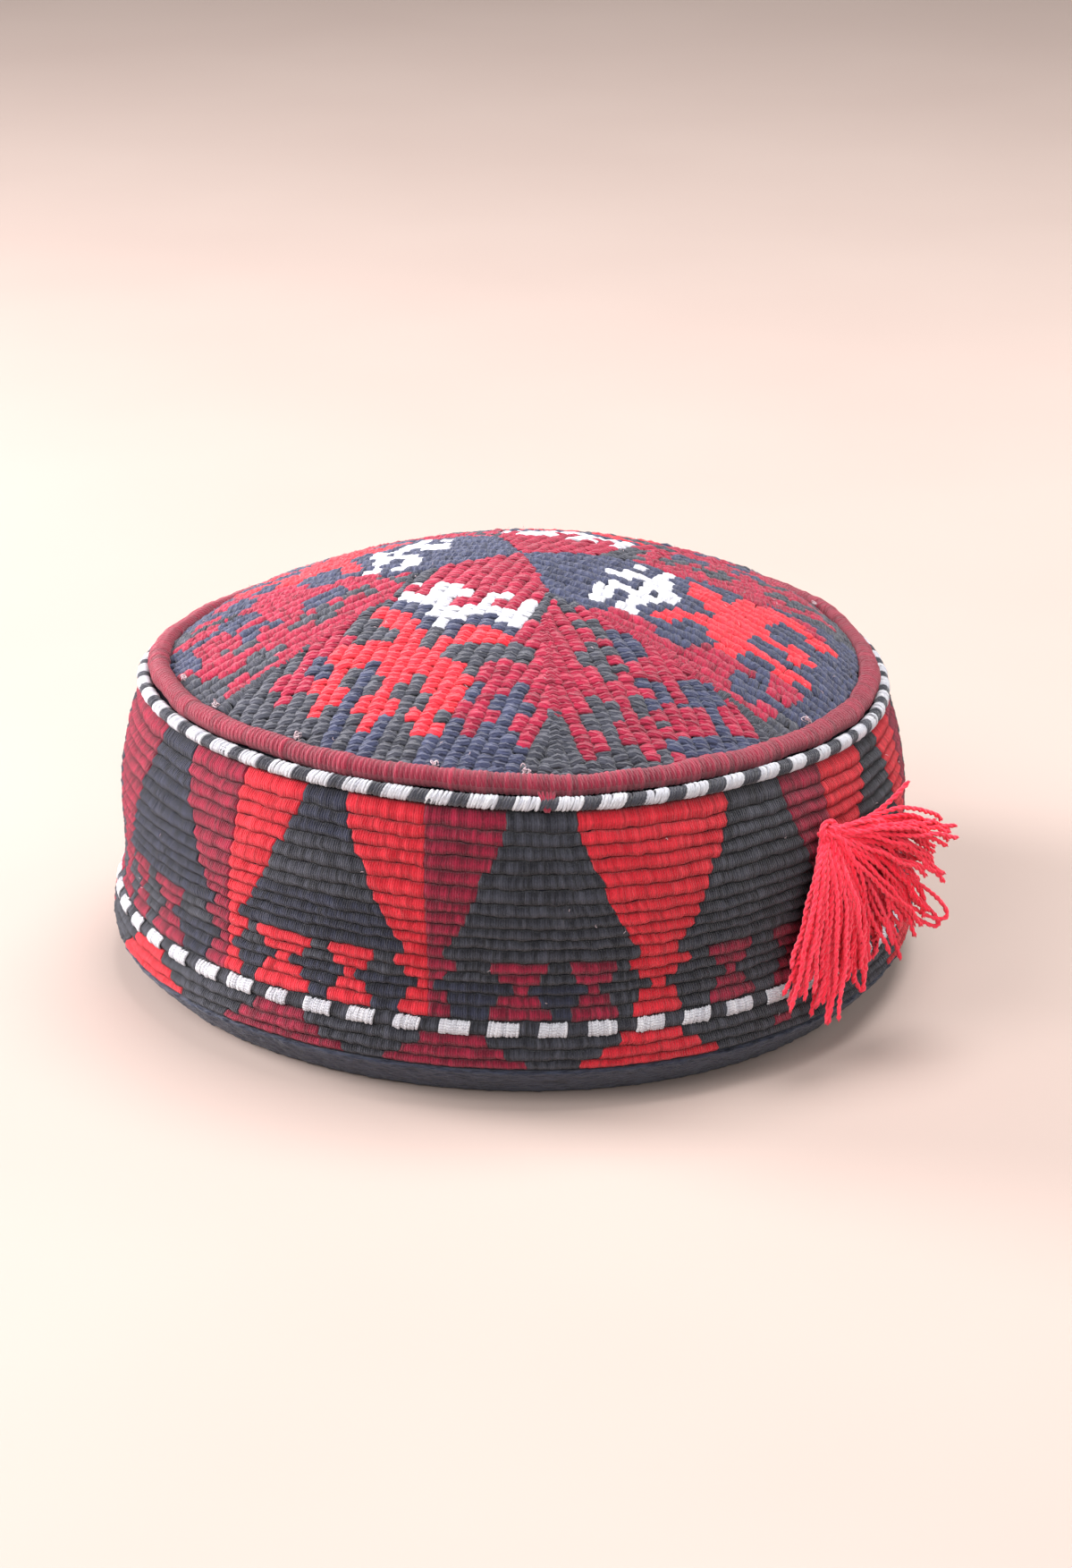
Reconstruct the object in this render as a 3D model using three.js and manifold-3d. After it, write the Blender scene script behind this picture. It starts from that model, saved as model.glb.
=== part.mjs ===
// A round embroidered cap, standing on its hem.
// A domed crown of wound ribs is sewn to a side band of wound rows. A thick piping and a thinner
// checked cord run round the edge between them, a wrapped hem turns in below, and a tassel of yarn
// hangs from a knot on the band.
// Millimetres, +Z up. The front of the cap faces -Y, and azimuths are counted from there towards +X.
import * as THREE from "three";
import { mergeVertices } from "three/addons/utils/BufferGeometryUtils.js";
import Module from "manifold-3d";

const wasm = await Module();
wasm.setup();

// Whole cap
const seamRadius = 93; // circle of the checked cord's middle
const seamHeight = 74.3; // and its height above the hem's foot
const clearance = 0.3; // gap between neighbouring pieces
const facets = 48; // flats round the cap

// Side band
const bandWall = 3.4;
const bandRows = 20;
const rowDepth = 1.1; // from the top of a row to the crease beside it
const bandShoulder = 1.3; // from the first row up to the cord's seat
const lipThickness = 2.6; // the band's edge, turned in under the crown
const lipWidth = 3.2; // how far the crown's edge lies on it

// Wrapped hem
const hemHeight = 9.3;
const hemWidth = 4.1; // at its foot, where it is folded under
const hemRound = 1; // rounding of its inner edge
const hemSteps = 3; // on its outer face

// Cords on the edge
const cordThickness = 3.8;
const pipingThickness = 5.4;
const pipingAbove = 40; // degrees from the checked cord up and in to the piping

// Crown
const crownRise = 24.2; // from the crown's edge to its middle
const crownRoundness = 1.75; // 2 would be a parabola
const crownWall = 3.4;
const crownProud = 1.1; // its edge above the middle of the piping
const ribPitch = 3.5;
const ribDepth = 1.2;
const ribsToWedge = 6; // ribs from a main sector's axis to the start of the wedges beside it
const leastStrip = 0.1; // narrowest strip kept beside a seam, as a share of half a rib
const stepsAlongRib = 4;
const hollowRings = 7; // on the inner face
const crownTurn = -23; // azimuth of the first main sector's axis

// Tassel
const tasselAzimuth = 46.5;
const knotBelowCord = 14.3;
const knotRadius = 3.1;
const tasselLength = 48;
const lockThickness = 8;
const lockSides = 6;
const tasselBow = 0.07; // how far a lock bows out on its way, as a share of its length

// The side's outline: height as a share of seamHeight, radius as a share of seamRadius.
const outline = [
  { up: 0, out: 1.003 },
  { up: 0.15, out: 1.101 },
  { up: 0.37, out: 1.07 },
  { up: 0.66, out: 1.07 },
  { up: 0.88, out: 1.039 },
  { up: 1, out: 1 },
];

// How far from round the soft cap stands: lobes round it, and their share of the radius.
const outOfRound = [
  { lobes: 2, share: 0.0155, azimuth: -37 },
  { lobes: 3, share: 0.0177, azimuth: 30 },
];

// Where its upper edge stands low, as a share of its height: a lean of the whole cap, a dip in
// front, and a sag of the edge round the back, full up to one turn from its middle and gone at the
// other, below a crown that keeps its height.
const lean = { share: 0.0175, azimuth: 65 };
const dip = { share: 0.0092, azimuth: 6, spread: 30 };
const sag = { share: 0.052, azimuth: 165, full: 75, gone: 130, starts: 0.84, whole: 0.98 };

// Locks of the tassel: degrees from hanging down, positive towards the back, and away from the
// band, and length as a share of tasselLength.
const locks = [
  { swing: 72, away: 26, length: 0.68 },
  { swing: 54, away: 20, length: 0.8 },
  { swing: 41, away: 17, length: 0.96 },
  { swing: 24, away: 14, length: 0.86 },
  { swing: 10, away: 12, length: 0.92 },
  { swing: -3, away: 10, length: 0.94 },
  { swing: -14, away: 9, length: 1 },
  { swing: -24, away: 8, length: 0.88 },
  { swing: -33, away: 7, length: 0.92 },
];

// A lock from its root to its tip: thickness as a share of lockThickness.
const lockShape = [
  { along: 0, thick: 0.35 },
  { along: 0.35, thick: 0.85 },
  { along: 0.75, thick: 1 },
  { along: 1, thick: 0.6 },
];

const rad = THREE.MathUtils.degToRad;

// Radius of the side at a height, through the outline's rows.
function sideRadius(z) {
  const knots = outline.map((row) => [row.up * seamHeight, row.out * seamRadius]);
  const last = knots.length - 1;
  const slope = (i) => {
    const [a, b] = [knots[Math.max(i - 1, 0)], knots[Math.min(i + 1, last)]];
    return (b[1] - a[1]) / (b[0] - a[0]);
  };
  let i = 0;
  while (i < last - 1 && z > knots[i + 1][0]) i++;
  const span = knots[i + 1][0] - knots[i][0];
  const t = (z - knots[i][0]) / span;
  const ease = t * t * (3 - 2 * t);
  const leave = t * (1 - t) * (1 - t) * span * slope(i);
  const arrive = t * t * (t - 1) * span * slope(i + 1);
  return knots[i][1] * (1 - ease) + knots[i + 1][1] * ease + leave + arrive;
}

// The point one wall inside the side's outer face at a height.
function insideSide(z) {
  const slope = sideRadius(z + 0.5) - sideRadius(z - 0.5);
  const length = Math.hypot(1, slope);
  return new THREE.Vector2(sideRadius(z) - bandWall / length, z + (bandWall * slope) / length);
}

// How far an azimuth is from a middle given in degrees, whichever way round is shorter.
function turnFrom(azimuth, middle) {
  const off = azimuth - rad(middle);
  return Math.abs(Math.atan2(Math.sin(off), Math.cos(off)));
}

// Moves a point of the ideal round cap to where the soft cap holds it.
function settle(point) {
  const radius = Math.hypot(point.x, point.y);
  const azimuth = Math.atan2(point.x, -point.y);
  const reach = radius / seamRadius;
  let stretch = 1;
  for (const wave of outOfRound)
    stretch += wave.share * Math.cos(wave.lobes * (azimuth - rad(wave.azimuth)));
  const fromDip = turnFrom(azimuth, dip.azimuth) / rad(dip.spread);
  const inDip = Math.cos(Math.min(fromDip, 1) * (Math.PI / 2)) ** 2 * reach ** 4;
  const fromSag = turnFrom(azimuth, sag.azimuth);
  const outOfSag = THREE.MathUtils.smoothstep(fromSag, rad(sag.full), rad(sag.gone));
  const nearEdge = THREE.MathUtils.clamp((reach - sag.starts) / (sag.whole - sag.starts), 0, 1);
  const inSag = (1 - outOfSag) * nearEdge;
  const leaning = lean.share * reach * Math.cos(azimuth - rad(lean.azimuth));
  const low = leaning + dip.share * inDip + sag.share * inSag;
  point.x *= stretch;
  point.y *= stretch;
  point.z -= point.z * low;
  return point;
}

function settled(geometry) {
  const position = geometry.getAttribute("position");
  const point = new THREE.Vector3();
  for (let i = 0; i < position.count; i++) {
    settle(point.fromBufferAttribute(position, i));
    position.setXYZ(i, point.x, point.y, point.z);
  }
  return geometry;
}

// A solid of revolution about +Z from a closed profile of radius and height.
function turned(profile, sides = facets) {
  return new THREE.LatheGeometry(profile, sides).rotateX(Math.PI / 2);
}

function toSolid(geometry) {
  const bare = new THREE.BufferGeometry();
  bare.setAttribute("position", geometry.getAttribute("position").clone());
  if (geometry.index) bare.setIndex(geometry.index.clone());
  const merged = mergeVertices(bare, 1e-3);
  const mesh = { numProp: 3, vertProperties: merged.attributes.position.array };
  return new wasm.Manifold(new wasm.Mesh({ ...mesh, triVerts: new Uint32Array(merged.index.array) }));
}

function toGeometry(solid) {
  const mesh = solid.getMesh();
  const geometry = new THREE.BufferGeometry();
  geometry.setAttribute("position", new THREE.BufferAttribute(mesh.vertProperties, 3));
  geometry.setIndex(new THREE.BufferAttribute(mesh.triVerts, 1));
  return geometry;
}

// Places on the edge between crown and band, worked out from the two cords that touch there
const cordPlace = new THREE.Vector2(seamRadius, seamHeight);
const betweenCords = (cordThickness + pipingThickness) / 2 + clearance;
const pipingPlace = new THREE.Vector2(-Math.cos(rad(pipingAbove)), Math.sin(rad(pipingAbove)))
  .multiplyScalar(betweenCords)
  .add(cordPlace);
const cordSeat = cordThickness / 2 + clearance;
const lipTop = pipingPlace.y - pipingThickness / 2 - clearance;
const crownRadius = pipingPlace.x - pipingThickness / 2 - clearance;
const crownEdge = pipingPlace.y + crownProud;
const crownFoot = lipTop + clearance;

// Height of the crown's ridges at a radius.
function crownHeight(radius) {
  return crownEdge + crownRise * (1 - (radius / crownRadius) ** crownRoundness);
}

// The crown's ribs run in eight fields: four main sectors that meet in the middle, and four wedges
// that start between them. A field's lines lie half a rib apart, ridge and crease by turns, and the
// lines of two neighbours meet on the seam between them.
const lineGap = ribPitch / 2;
const linesToWedge = 2 * ribsToWedge;
const wedgeStart = linesToWedge * lineGap;
const wedgePoint = wedgeStart * Math.SQRT2;
const seamSlope = 1 / Math.tan(Math.PI / 8);

// Where a field's seam lies along it, at a distance across from its axis.
function mainSeam(across) {
  return across <= wedgeStart ? across : wedgeStart + (across - wedgeStart) * seamSlope;
}

function wedgeSeam(across) {
  return wedgePoint + across * seamSlope;
}

// Half the width of a wedge where its seams meet the crown's edge.
function wedgeHalfWidth() {
  const square = 1 + seamSlope ** 2;
  const half = wedgePoint * seamSlope;
  return (Math.sqrt(half ** 2 - square * (wedgePoint ** 2 - crownRadius ** 2)) - half) / square;
}

const wedgeAngle = Math.asin(wedgeHalfWidth() / crownRadius);
const wedgeLines = Math.floor(wedgeHalfWidth() / lineGap - leastStrip);
const mainField = { lines: linesToWedge + wedgeLines, seam: mainSeam, corner: Math.PI / 4 - wedgeAngle };
const wedgeField = { lines: wedgeLines, seam: wedgeSeam, corner: wedgeAngle };

// Adds the triangles of a field whose axis points at an azimuth. Returns its points on the crown's
// edge in order, up to the corner where the next field starts.
function addField(field, axis, triangles) {
  const place = (across, along, height) => {
    const x = along * Math.sin(axis) + across * Math.cos(axis);
    const y = across * Math.sin(axis) - along * Math.cos(axis);
    return new THREE.Vector3(x, y, height);
  };
  const line = (number) => {
    const across = number * lineGap;
    const from = field.seam(Math.abs(across));
    const to = Math.sqrt(crownRadius ** 2 - across ** 2);
    const drop = number % 2 === 0 ? 0 : ribDepth;
    return Array.from({ length: stepsAlongRib + 1 }, (_, step) => {
      const along = from + ((to - from) * step) / stepsAlongRib;
      return place(across, along, crownHeight(Math.hypot(across, along)) - drop);
    });
  };
  const corner = (side) => {
    const angle = side * field.corner;
    return place(crownRadius * Math.sin(angle), crownRadius * Math.cos(angle), crownEdge);
  };
  const lines = [];
  for (let number = -field.lines; number <= field.lines; number++) lines.push(line(number));
  const [first, last] = [lines[0], lines[lines.length - 1]];
  for (let step = 0; step < stepsAlongRib; step++) {
    triangles.push([first[step], corner(-1), first[step + 1]]);
    triangles.push([last[step], last[step + 1], corner(1)]);
    for (let i = 0; i < lines.length - 1; i++) {
      const [left, right] = [lines[i], lines[i + 1]];
      triangles.push([left[step], left[step + 1], right[step + 1]]);
      triangles.push([left[step], right[step + 1], right[step]]);
    }
  }
  return [...lines.map((points) => points[stepsAlongRib]), corner(1)];
}

function crown() {
  const triangles = [];
  const rim = [];
  for (let quarter = 0; quarter < 4; quarter++) {
    const axis = rad(crownTurn + 90 * quarter);
    rim.push(...addField(mainField, axis, triangles));
    rim.push(...addField(wedgeField, axis + Math.PI / 4, triangles));
  }
  const middle = new THREE.Vector3(0, 0, crownFoot);
  const feet = rim.map((point) => new THREE.Vector3(point.x, point.y, crownFoot));
  rim.forEach((point, i) => {
    const next = (i + 1) % rim.length;
    triangles.push([point, feet[i], feet[next]]);
    triangles.push([point, feet[next], rim[next]]);
    triangles.push([feet[i], middle, feet[next]]);
  });
  const full = new THREE.BufferGeometry().setFromPoints(triangles.flat());

  const hollowRadius = crownRadius - crownWall;
  const hollow = [new THREE.Vector2(0, 0), new THREE.Vector2(hollowRadius, 0)];
  for (let ring = hollowRings; ring > 0; ring--) {
    const radius = hollowRadius * Math.sin((ring / hollowRings) * (Math.PI / 2));
    hollow.push(new THREE.Vector2(radius, crownHeight(radius) - crownWall));
  }
  hollow.push(new THREE.Vector2(0, crownHeight(0) - crownWall));
  return toGeometry(toSolid(full).subtract(toSolid(turned(hollow))));
}

// Side band, its rows wound one above the other, its upper edge turned in below the crown's edge
function sideBand() {
  const foot = hemHeight + clearance;
  const top = seamHeight - cordSeat - bandShoulder;
  const rowPitch = (top - foot) / bandRows;
  const profile = [];
  for (let row = 0; row <= bandRows; row++) {
    const crease = foot + row * rowPitch;
    const ridge = crease + rowPitch / 2;
    profile.push([sideRadius(crease) - rowDepth, crease]);
    if (row < bandRows) profile.push([sideRadius(ridge), ridge]);
  }
  const seatBack = cordPlace.x - cordSeat;
  const lipEdge = crownRadius - lipWidth;
  profile.push([cordPlace.x, cordPlace.y - cordSeat]);
  profile.push([seatBack, cordPlace.y - cordSeat]);
  profile.push([seatBack, lipTop]);
  profile.push([lipEdge, lipTop]);
  profile.push([lipEdge, lipTop - lipThickness]);
  profile.push([seatBack - lipThickness, lipTop - lipThickness]);
  for (let i = outline.length - 2; i > 1; i--) {
    const height = outline[i].up * seamHeight;
    profile.push([sideRadius(height) - bandWall, height]);
  }
  profile.push([sideRadius(foot) - bandWall, foot]);
  profile.push(profile[0]);
  return turned(profile.map(([radius, height]) => new THREE.Vector2(radius, height)));
}

// Hem, the lowest part of the side, wrapped round the cloth's edge and drawn in
function hemBinding() {
  const heights = Array.from({ length: hemSteps + 1 }, (_, step) => (step / hemSteps) * hemHeight);
  const profile = heights.map((height) => new THREE.Vector2(sideRadius(height), height));
  profile.push(new THREE.Vector2(sideRadius(hemHeight) - bandWall, hemHeight));
  profile.push(...heights.slice(1, hemSteps).reverse().map(insideSide));
  const openingRadius = sideRadius(0) - hemWidth;
  profile.push(new THREE.Vector2(openingRadius, hemRound));
  profile.push(new THREE.Vector2(openingRadius + hemRound, 0));
  profile.push(profile[0].clone());
  return turned(profile);
}

// A cord that runs round the cap, from the middle of its section
function edgeCord(place, thickness, sides) {
  const profile = [];
  for (let side = 0; side <= sides; side++) {
    const angle = ((side % sides) / sides) * 2 * Math.PI;
    const offset = new THREE.Vector2(Math.cos(angle), Math.sin(angle));
    profile.push(offset.multiplyScalar(thickness / 2).add(place));
  }
  return turned(profile);
}

// One lock of the tassel, a bent spindle that starts inside the knot
function lock(row) {
  const length = row.length * tasselLength;
  const profile = [new THREE.Vector2(0, 0)];
  for (const part of lockShape)
    profile.push(new THREE.Vector2((part.thick * lockThickness) / 2, part.along * length));
  profile.push(new THREE.Vector2(0, length));
  const [swing, away] = [rad(row.swing), rad(row.away)];
  const outward = new THREE.Vector3(Math.sin(away), 0, 0);
  const hanging = new THREE.Vector3(0, Math.sin(swing), -Math.cos(swing)).multiplyScalar(Math.cos(away));
  const heading = hanging.add(outward);
  const across = new THREE.Vector3(0, Math.cos(swing), Math.sin(swing));
  const upright = new THREE.Vector3().crossVectors(heading, across);
  const bow = new THREE.Vector3(tasselBow, 0, tasselBow * Math.abs(Math.sin(swing)));
  const half = heading.clone().multiplyScalar(0.5).add(bow).multiplyScalar(length);
  const tip = heading.clone().multiplyScalar(length);
  const path = new THREE.QuadraticBezierCurve3(new THREE.Vector3(), half, tip);
  const geometry = turned(profile, lockSides);
  const position = geometry.getAttribute("position");
  for (let i = 0; i < position.count; i++) {
    const point = path.getPoint(position.getZ(i) / length);
    point.addScaledVector(across, position.getX(i)).addScaledVector(upright, position.getY(i));
    position.setXYZ(i, point.x, point.y, point.z);
  }
  return toSolid(geometry);
}

// Tassel, a fan of locks fused to its knot: local x away from the band, y towards the back, z up
function tassel() {
  let solid = toSolid(new THREE.IcosahedronGeometry(knotRadius, 1));
  for (const row of locks) solid = solid.add(lock(row));
  const azimuth = rad(tasselAzimuth);
  const height = seamHeight - knotBelowCord;
  const away = new THREE.Vector3(Math.sin(azimuth), -Math.cos(azimuth), 0);
  const back = new THREE.Vector3(Math.cos(azimuth), Math.sin(azimuth), 0);
  const frame = new THREE.Matrix4().makeBasis(away, back, new THREE.Vector3(0, 0, 1));
  const place = away.multiplyScalar(sideRadius(height) + clearance + knotRadius);
  frame.setPosition(place.setZ(height));
  return toGeometry(solid).applyMatrix4(frame);
}

// Yarn colours, the main one of each piece
const navy = 0x30333e;
const maroon = 0x96233f;
const red = 0xe62a3c;
const white = 0xe8e8ee;

const cap = new THREE.Group();

function add(name, geometry, color) {
  const material = new THREE.MeshStandardMaterial({ color, roughness: 0.9, metalness: 0 });
  const mesh = new THREE.Mesh(settled(geometry), material);
  mesh.name = name;
  cap.add(mesh);
}

add("crown", crown(), maroon);
add("side_band", sideBand(), navy);
add("edge_piping", edgeCord(pipingPlace, pipingThickness, 8), maroon);
add("checked_cord", edgeCord(cordPlace, cordThickness, 6), white);
add("hem_binding", hemBinding(), navy);
add("tassel", tassel(), red);

// The origin is on the surface that the cap stands on, below the middle of its box.
const box = new THREE.Box3().setFromObject(cap, true);
const centre = box.getCenter(new THREE.Vector3());
cap.position.set(-centre.x, -centre.y, -box.min.z);

export default new THREE.Group().add(cap);
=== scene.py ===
# Looks of an embroidered round cap: ribs and rows of yarn stitches, two wound cords on the edge,
# a wrapped hem and a yarn tassel.
# Lengths are millimetres until a mesh is made. The front of the cap faces -Y, and azimuths are
# degrees counted from there towards +X.
import math

import bpy
import numpy as np
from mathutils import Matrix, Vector


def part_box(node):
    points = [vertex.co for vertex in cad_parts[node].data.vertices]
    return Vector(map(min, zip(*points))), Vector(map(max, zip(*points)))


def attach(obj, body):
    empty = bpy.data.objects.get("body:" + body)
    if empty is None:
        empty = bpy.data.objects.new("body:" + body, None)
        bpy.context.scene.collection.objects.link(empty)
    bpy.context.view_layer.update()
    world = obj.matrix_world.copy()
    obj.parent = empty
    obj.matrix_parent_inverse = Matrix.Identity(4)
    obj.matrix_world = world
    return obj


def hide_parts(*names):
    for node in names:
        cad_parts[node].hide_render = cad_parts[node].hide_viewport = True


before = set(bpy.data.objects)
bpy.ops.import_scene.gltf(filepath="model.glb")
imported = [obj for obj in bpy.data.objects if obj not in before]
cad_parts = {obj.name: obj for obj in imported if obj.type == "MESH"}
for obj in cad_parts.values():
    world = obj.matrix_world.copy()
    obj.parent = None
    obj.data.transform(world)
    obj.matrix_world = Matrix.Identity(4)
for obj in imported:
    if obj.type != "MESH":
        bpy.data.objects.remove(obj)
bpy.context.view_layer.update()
chance = np.random.default_rng(7)

# Whole cap
SEAM_RADIUS = 93
SEAM_HEIGHT = 74.3
# Share of the seam's height, and the side's radius there as a share of the seam's.
OUTLINE = {0: 1.003, 0.15: 1.101, 0.37: 1.07, 0.66: 1.07, 0.88: 1.039, 1: 1}
OUT_OF_ROUND = [
    {"lobes": 2, "share": 0.0155, "azimuth": -37},
    {"lobes": 3, "share": 0.0177, "azimuth": 30},
]
LEAN = {"share": 0.0175, "azimuth": 65}
DIP = {"share": 0.0092, "azimuth": 6, "spread": 30}
SAG = {"share": 0.052, "azimuth": 165, "full": 75, "gone": 130, "starts": 0.84, "whole": 0.98}

# Crown
CROWN_RADIUS = 86.25
CROWN_EDGE = 78.55
CROWN_RISE = 24.2
CROWN_ROUNDNESS = 1.75
CROWN_WALL = 3.4
CROWN_FOOT = 74.75
RIB_PITCH = 3.5
RIB_DEPTH = 1.2

# Side band and hem
BAND_TOP = 72.3
BAND_FOOT = 9.6
ROW_DEPTH = 1.1
BAND_WALL = 3.4
THREAD_PITCH = 0.6
HEM_HEIGHT = 9.3

# The band's lip reaches in under the crown.
LIP = {"foot": 72.1, "top": 74.45, "width": 2.2, "inner": 83, "thickness": 2.6, "under": 5}
# Where the wall below the lip starts.
WALL_TOP = 68

# Cords
CORD = {"radius": 93, "height": 74.3, "thickness": 3.8}
PIPING = {"radius": 89.25, "height": 77.45, "thickness": 5.4}

# Tassel
TASSEL_AZIMUTH = 45.6
KNOT_HEIGHT = 58
KNOT_RADIUS = 3.1


# Shape of the cap

def side_radius(height):
    """Radius of the side at a height, through the points of the outline."""
    up = np.array(list(OUTLINE)) * SEAM_HEIGHT
    out = np.array(list(OUTLINE.values())) * SEAM_RADIUS
    slope = np.empty(len(up))
    slope[1:-1] = (out[2:] - out[:-2]) / (up[2:] - up[:-2])
    slope[0] = (out[1] - out[0]) / (up[1] - up[0])
    slope[-1] = (out[-1] - out[-2]) / (up[-1] - up[-2])
    height = np.asarray(height, float)
    i = np.clip(np.searchsorted(up, height, side="right") - 1, 0, len(up) - 2)
    span = up[i + 1] - up[i]
    t = (height - up[i]) / span
    ease = t * t * (3 - 2 * t)
    leave = t * (1 - t) ** 2 * span * slope[i]
    arrive = t * t * (t - 1) * span * slope[i + 1]
    return out[i] * (1 - ease) + out[i + 1] * ease + leave + arrive


def crown_height(radius):
    """Height of the crown's ridges at a radius."""
    return CROWN_EDGE + CROWN_RISE * (1 - (radius / CROWN_RADIUS) ** CROWN_ROUNDNESS)


def off(azimuth, middle):
    """Signed degrees from a middle to an azimuth."""
    return (azimuth - middle + 180) % 360 - 180


def settle(points):
    """Moves points of the ideal round cap to where the soft cap holds them."""
    x, y, z = points[..., 0], points[..., 1], points[..., 2]
    azimuth = np.degrees(np.arctan2(x, -y))
    reach = np.hypot(x, y) / SEAM_RADIUS
    stretch = 1.0
    for wave in OUT_OF_ROUND:
        turn = np.radians(azimuth - wave["azimuth"])
        stretch = stretch + wave["share"] * np.cos(wave["lobes"] * turn)
    from_dip = np.abs(off(azimuth, DIP["azimuth"])) / DIP["spread"]
    in_dip = np.cos(np.minimum(from_dip, 1) * math.pi / 2) ** 2 * reach ** 4
    out_of_sag = np.abs(off(azimuth, SAG["azimuth"])) - SAG["full"]
    out_of_sag = np.clip(out_of_sag / (SAG["gone"] - SAG["full"]), 0, 1)
    in_sag = 1 - out_of_sag ** 2 * (3 - 2 * out_of_sag)
    in_sag = in_sag * np.clip((reach - SAG["starts"]) / (SAG["whole"] - SAG["starts"]), 0, 1)
    leaning = LEAN["share"] * reach * np.cos(np.radians(azimuth - LEAN["azimuth"]))
    low = leaning + DIP["share"] * in_dip + SAG["share"] * in_sag
    return vectors(x * stretch, y * stretch, z - z * low)


def vectors(x, y, z):
    """Vectors of three values, each of them a number or an array."""
    return np.stack(np.broadcast_arrays(x, y, z), -1).astype(float)


def round_point(radius, azimuth, height):
    """Points at a radius, an azimuth in degrees and a height."""
    angle = np.radians(azimuth)
    return vectors(radius * np.sin(angle), -radius * np.cos(angle), height)


def cap_offset():
    """From the ideal cap's axis to the frame's origin, by the hem's place in the frame."""
    ring = settle(round_point(side_radius(HEM_HEIGHT), np.arange(0, 360, 7.5), HEM_HEIGHT))
    low, high = (np.array(corner) * 1000 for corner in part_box("hem_binding"))
    offset = (low + high) / 2 - (ring.min(0) + ring.max(0)) / 2
    return np.array([offset[0], offset[1], 0])


OFFSET = cap_offset()


# Meshes

def jitter(spread, *shape):
    """Random values about zero."""
    return chance.normal(0, spread, shape or None)


def placed(name, data, place=None, heading=None):
    """An object in the scene, at its place and turned to its heading where it has them."""
    made = bpy.data.objects.new(name, data)
    bpy.context.scene.collection.objects.link(made)
    if place is not None:
        made.location = place
        made.rotation_euler = Vector(heading).to_track_quat("-Z", "Y").to_euler()
    return made


class Bundle:
    """Points, faces and thread coordinates of things that share one mesh."""

    def __init__(self):
        self.points, self.threads, self.faces, self.count = [], [], {3: [], 4: []}, 0

    def add(self, points, faces, thread):
        for corners in faces:
            if len(corners):
                self.faces[corners.shape[1]].append(corners + self.count)
        self.points.append(points)
        self.threads.append(thread)
        self.count += len(points)

    def piece(self, name, material, slot, replaces=None):
        points = (settle(np.concatenate(self.points)) + OFFSET) / 1000
        groups = [np.concatenate(group) for group in self.faces.values() if group]
        corners = np.concatenate([group.ravel() for group in groups])
        sizes = np.concatenate([np.full(len(group), group.shape[1]) for group in groups])
        mesh = bpy.data.meshes.new(name)
        for items, field, values in ((mesh.vertices, "co", points), (mesh.loops, "vertex_index", corners)):
            items.add(len(values))
            items.foreach_set(field, values.ravel())
        mesh.polygons.add(len(sizes))
        mesh.polygons.foreach_set("loop_start", np.concatenate([[0], np.cumsum(sizes)[:-1]]))
        mesh.polygons.foreach_set("loop_total", sizes)
        mesh.polygons.foreach_set("use_smooth", np.ones(len(sizes), bool))
        thread = mesh.attributes.new("thread", "FLOAT_VECTOR", "POINT")
        thread.data.foreach_set("vector", np.concatenate(self.threads).astype(np.float32).ravel())
        mesh.update(calc_edges=True)
        mesh.materials.append(material)
        made = placed(name, mesh)
        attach(made, "root")
        if replaces:
            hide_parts(replaces)


def lone_piece(name, shape, material, slot, replaces=None):
    """A piece of one shape: its points, faces and thread coordinates."""
    bundle = Bundle()
    bundle.add(*shape)
    bundle.piece(name, material, slot, replaces)


def unit(arrows):
    """The same directions with a length of one."""
    return arrows / np.maximum(np.linalg.norm(arrows, axis=-1, keepdims=True), 1e-9)


def length_along(paths):
    """Length of each path (strand, station, axis) from its start to its stations."""
    steps = np.linalg.norm(np.diff(paths, axis=1), axis=-1)
    return np.concatenate([np.zeros((len(paths), 1)), np.cumsum(steps, 1)], 1)


def tube_faces(rings, sides, first, tips):
    """Triangles and quads of a closed tube, its rings' points counted on from a first one."""
    ring = np.arange(sides)
    after = (ring + 1) % sides
    starts = first + np.arange(rings)[:, None] * sides
    near, far = starts[:-1], starts[1:]
    walls = np.stack([near + ring, near + after, far + after, far + ring], -1)
    fans = [np.stack([np.full(sides, tips[0]), first + after, first + ring], -1),
            np.stack([np.full(sides, tips[1]), far[-1] + ring, far[-1] + after], -1)]
    return np.concatenate(fans), walls.reshape(-1, 4)


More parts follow.
